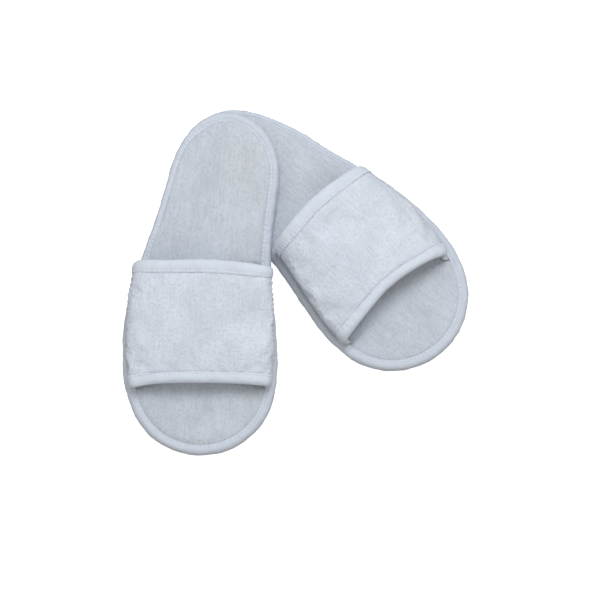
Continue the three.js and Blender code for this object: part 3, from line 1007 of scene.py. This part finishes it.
def makeUpperTape(foot, which):
    look = tapes[which]
    seed = pair[foot]["seed"] + look["seed"]
    across, u = evenAcross(foot, tapes["start"], 1 - tapes["start"], tapes["columns"])
    section = tapes["outer"] + tapes["fold"] + tapes["inner"] + tapes["inside"]
    profile = smoothLine(section, tapes["points"], closed=True)
    distance, height = profile[:, 0] * look["width"], profile[:, 1]
    along = tapeAlong(look["edge"], distance)
    points, normals = upperGrid(foot, across, along)
    u2, side2 = np.meshgrid(u, np.arange(tapes["points"]) * tapes["pointGap"])
    v2 = np.broadcast_to(along[:, None] * upperLength, u2.shape)
    relief = clothRelief(foot, u2, v2, across) * cloth["tapeCalm"] * ease(toSide(across), 0.14, 0.18)
    # only the sides that show ripple, outwards on the outer face and inwards on the inner one
    shown = ((height > 0.45) | (height < -3.9) | (profile[:, 0] < 0.05)).astype(float)[:, None]
    nearSeam = np.exp(-((distance - tapes["seam"] * look["width"]) / 1.8) ** 2)[:, None]
    stitch = np.cos(2 * math.pi * u2 / edging["stitchPitch"]) * nearSeam
    ripple = 0.30 * softNoise(u2, side2, 6, seed) + 0.16 * softNoise(u2, side2, 2.6, seed + 2)
    ripple -= 0.16 * stitch
    sign = np.where(height > -1.8, 1, -1)[:, None]
    taper = tapeTaper(across)
    deep = np.where(height[:, None] < 0, tuck(across), 1.0) * taper
    offset = height[:, None] * deep + relief + ripple * shown * sign * taper
    loops = (points + normals * offset[..., None]).swapaxes(0, 1)
    faces = sweepFaces(tapes["columns"], tapes["points"], False)
    addPiece(f"{which}_tape", foot, loops, faces, upperTape, f"{which}_band")


def bandThread(foot, which, name, node, height, up):
    # the seam's thread on the tape's outer face (up 1) or its inner face (up -1)
    look = tapes[which]
    _, u = evenAcross(foot, tapes["start"], 1 - tapes["start"], 4)
    count = int(u[-1] / edging["stitchPitch"]) * thread["perStitch"]
    start = tapes["start"] + tapes["threadInset"]
    across, u = evenAcross(foot, start, 1 - start, count)
    along = tapeAlong(look["edge"], look["width"] * tapes["seam"])
    points, normals = upperGrid(foot, across, np.array([along]))
    points, normals = points[0], normals[0]
    relief = clothRelief(foot, u, along * upperLength + 0 * u, across) * cloth["tapeCalm"]
    relief = relief * ease(toSide(across), 0.14, 0.18)
    deep = tapeTaper(across) * (1 if up > 0 else tuck(across))
    dip = thread["bandDip"] * (1 - stitchRise(2 * math.pi * u / edging["stitchPitch"]))
    centres = points + normals * (height * deep + relief - up * dip)[:, None]
    ahead = unit(np.gradient(centres, axis=0))
    sideways = unit(np.cross(ahead, normals))
    loops = threadLoops(centres, np.cross(sideways, ahead), sideways)
    addPiece(name, foot, loops, sweepFaces(len(u), thread["sides"], False), sewingThread, node)


for foot in pair:
    terry, width = makeLayer(foot, "terry_upper", "upper_shell", "shell", upperTerry, outer=True)
    wadding, _ = makeLayer(foot, "upper_wadding", "upper_padding", "wadding", foam)
    backing, width = makeLayer(foot, "upper_backing", "upper_lining", "backing", upperBacking)
    for which in ("toe", "instep"):
        makeUpperTape(foot, which)
        bandThread(foot, which, f"{which}_stitches", f"{which}_needle_thread", thread["bandTop"], 1)
        bandThread(foot, which, f"{which}_understitches", f"{which}_bobbin_thread", thread["bandUnder"], -1)
    print(f"{foot} upper made")

studio = {
    "floorGlow": 0.90, "floorColour": (0.9, 0.9, 0.9), "floorReach": 6.0, "floorDrop": 0.0002,
    "sky": (1.0, 0.99, 0.985), "ground": (0.10, 0.105, 0.12), "skyStrength": 0.62,
    "key": {"colour": (0.88, 0.95, 1.0), "power": 11.5, "size": 0.8, "from": (0.34, 0.46, 1.45)},
    "camera": {
        "azimuth": -20.4, "elevation": 80.0, "distance": 2.0, "lens": 148.0, "sensor": 36.0,
        "target": (0.01298, -0.03623, 0.0),
    },
}


def makeFloor():
    mesh = bpy.data.meshes.new("floor")
    reach = studio["floorReach"]
    corners = [(-reach, -reach, 0), (reach, -reach, 0), (reach, reach, 0), (-reach, reach, 0)]
    mesh.from_pydata(corners, [], [(0, 1, 2, 3)])
    floor = bpy.data.objects.new("floor", mesh)
    putIn(floor)
    floor.location.z = -studio["floorDrop"]
    material, shader = newMaterial("paleFloor", 0.9)
    shader.inputs["Base Color"].default_value = (*studio["floorColour"], 1)
    shader.inputs["Emission Color"].default_value = (1, 1, 1, 1)
    shader.inputs["Emission Strength"].default_value = studio["floorGlow"]
    mesh.materials.append(material)
    floor.visible_diffuse = False  # the floor's glow stays off the slippers' sides


def makeLamp(name, look):
    lamp = bpy.data.lights.new(name, "AREA")
    lamp.energy = look["power"]
    lamp.color = look["colour"]
    lamp.shape = "DISK"
    lamp.size = look["size"]
    holder = bpy.data.objects.new(name, lamp)
    holder.location = look["from"]
    holder.rotation_mode = "QUATERNION"
    holder.rotation_quaternion = (-Vector(look["from"])).to_track_quat("-Z", "Y")
    putIn(holder)


def makeCamera():
    look = studio["camera"]
    azimuth, elevation = math.radians(look["azimuth"]), math.radians(look["elevation"])
    back = Vector((
        math.sin(azimuth) * math.cos(elevation),
        -math.cos(azimuth) * math.cos(elevation),
        math.sin(elevation),
    ))
    camera = bpy.data.objects.new("camera", bpy.data.cameras.new("camera"))
    camera.data.lens = look["lens"]
    camera.data.sensor_width = look["sensor"]
    camera.location = Vector(look["target"]) + back * look["distance"]
    camera.rotation_mode = "QUATERNION"
    camera.rotation_quaternion = (-back).to_track_quat("-Z", "Y")
    putIn(camera)
    bpy.context.scene.camera = camera


makeFloor()
makeLamp("keyLight", studio["key"])
makeCamera()
world = bpy.data.worlds.new("studio")
world.use_nodes = True
way = addNode(world, "ShaderNodeTexCoord").outputs["Generated"]
up = addNode(world, "ShaderNodeSeparateXYZ", Vector=way).outputs["Z"]
around = blendColour(world, remap(world, up, -0.1, 0.3), studio["ground"], studio["sky"])
background = world.node_tree.nodes["Background"]
world.node_tree.links.new(around, background.inputs["Color"])
background.inputs["Strength"].default_value = studio["skyStrength"]
bpy.context.scene.world = world
bpy.context.scene.view_settings.view_transform = "Standard"
print("studio made")
